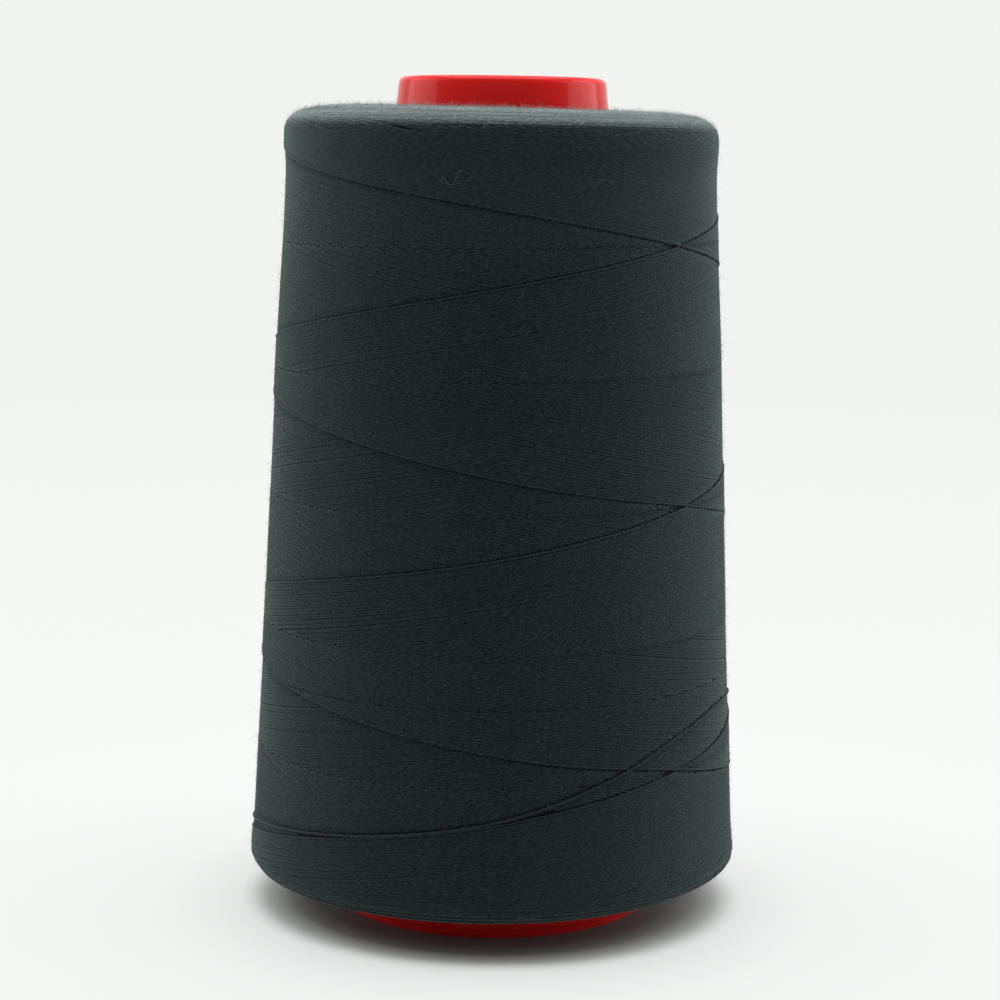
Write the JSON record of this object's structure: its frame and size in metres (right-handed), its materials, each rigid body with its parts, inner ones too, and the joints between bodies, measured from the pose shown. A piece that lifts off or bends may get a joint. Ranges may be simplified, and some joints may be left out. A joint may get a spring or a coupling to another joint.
{
  "type": "spool of sewing thread",
  "caption": "Tall cone-wound spool of dark sewing thread on a hollow red plastic core with a flanged foot and a rounded nose.",
  "frame": {"origin": "centre of the foot ring, on the surface that the spool stands on", "axes": "+Z along the spool's axis from the foot to the nose; -Y is the front, as the spool is seen"},
  "size_m": [0.0744, 0.0744, 0.125],
  "materials": {
    "core_plastic": "gloss",
    "label_paper": "matte",
    "thread": "matte"
  },
  "bodies": {
    "root": {"base_foot": "core_plastic", "core_tube": "core_plastic", "nose_cap": "core_plastic", "foot_label": "label_paper", "reserve_winding": "thread", "thread_package": "thread", "outer_layer": "thread", "last_wrap": "thread"}
  },
  "joints": []
}
